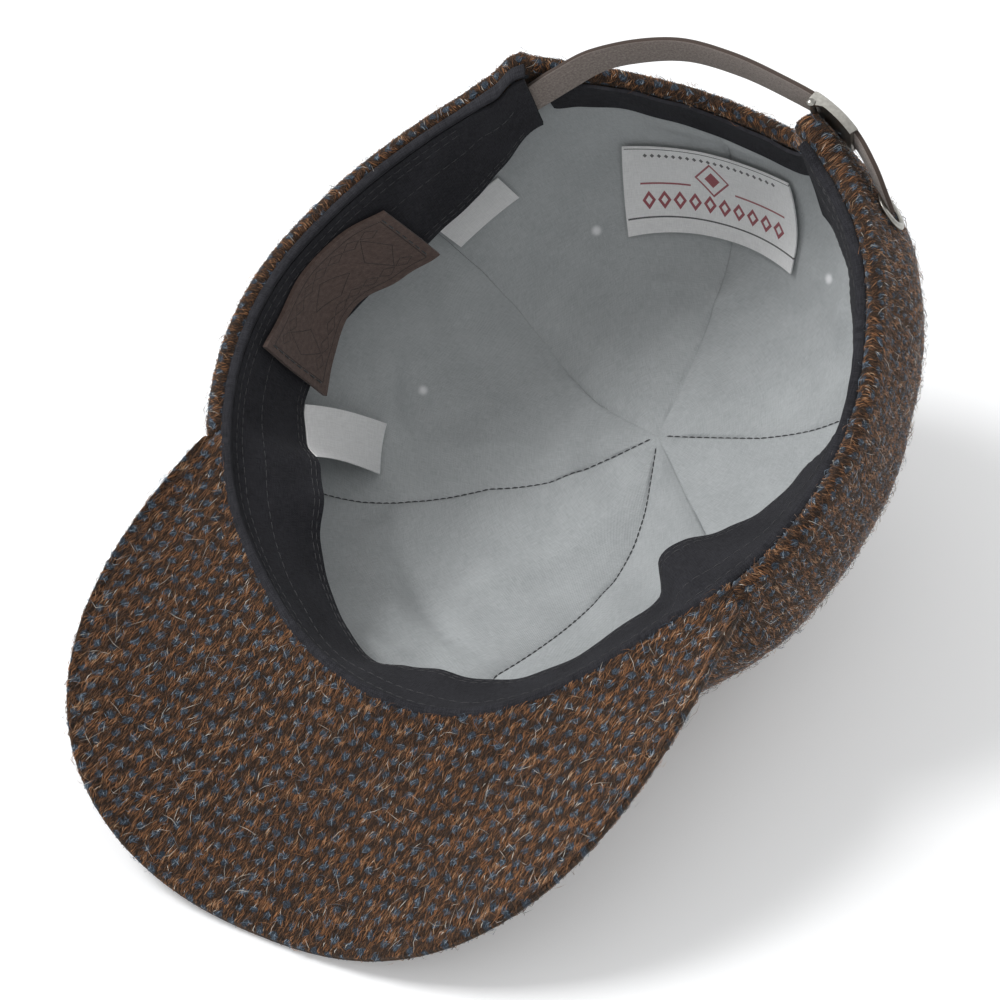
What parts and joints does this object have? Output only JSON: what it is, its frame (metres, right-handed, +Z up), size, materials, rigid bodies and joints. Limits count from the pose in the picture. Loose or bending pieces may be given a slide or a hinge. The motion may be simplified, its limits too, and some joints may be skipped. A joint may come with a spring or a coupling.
{
  "type": "baseball cap",
  "caption": "Tweed peaked cap with a soft panelled crown, grey lining, black sweatband and a leather back strap with a metal clip, lying upside down on its crown.",
  "frame": {"origin": "middle of the bounding box, on the surface that the cap lies on", "axes": "+Z up; the peak points towards -Y and down, the back strap is at +Y; +X is the right-hand side in that view"},
  "size_m": [0.1984, 0.285, 0.155],
  "materials": {
    "tweed": "woolly brown tweed with blue flecks",
    "lining": "smooth grey plain weave",
    "black_cotton": "matt black twill",
    "strap_leather": "grey-brown nubuck face with a brown edge",
    "patch_leather": "dark brown, semi-matt",
    "nickel": "satin nickel",
    "label_cloth": "white satin ribbon"
  },
  "bodies": {
    "root": {"peak_under": "tweed", "peak_upper": "tweed", "crown_panel_back_left": "tweed", "lining_panel_back_left": "lining", "crown_panel_side_left": "tweed", "lining_panel_side_left": "lining", "crown_panel_front_left": "tweed", "lining_panel_front_left": "lining", "crown_panel_front_right": "tweed", "lining_panel_front_right": "lining", "crown_panel_side_right": "tweed", "lining_panel_side_right": "lining", "crown_panel_back_right": "tweed", "lining_panel_back_right": "lining", "crown_button": "tweed", "sweatband": "black_cotton", "band_piping": "black_cotton", "arch_binding": "black_cotton", "strap": "strap_leather", "buckle_clip": "nickel", "buckle_pin": "nickel", "grommet": "nickel", "leather_patch": "patch_leather", "woven_label": "label_cloth", "size_label": "label_cloth", "loop_label": "label_cloth"}
  },
  "joints": []
}
